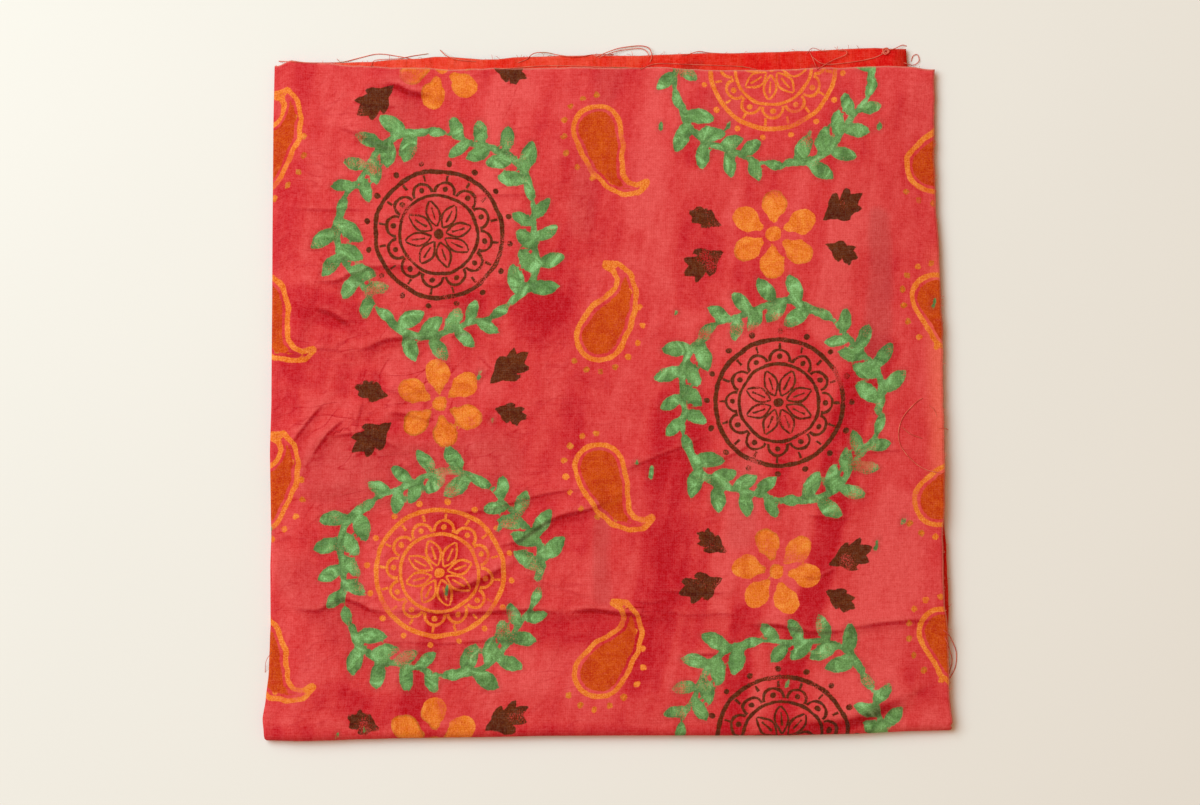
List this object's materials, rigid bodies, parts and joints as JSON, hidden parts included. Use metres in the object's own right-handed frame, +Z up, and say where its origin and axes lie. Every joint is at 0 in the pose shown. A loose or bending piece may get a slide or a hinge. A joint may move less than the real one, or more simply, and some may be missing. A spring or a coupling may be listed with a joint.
{
  "type": "folded printed cotton cloth",
  "caption": "Square of thin printed cotton, folded in four and lying flat, with raw edges on two sides and folds on the other two.",
  "frame": {"origin": "middle of the folded cloth's box, on the surface it lies on", "axes": "+Z up through the layers, +Y from the near fold to the raw far edges, +X from the left fold to the raw right edges"},
  "size_m": [0.2285, 0.2304, 0.0078],
  "materials": {
    "printed_cotton": "matt plain weave, pink-red dye with green, orange and brown print"
  },
  "bodies": {
    "root": {"folded_cloth": "printed_cotton"}
  },
  "joints": []
}
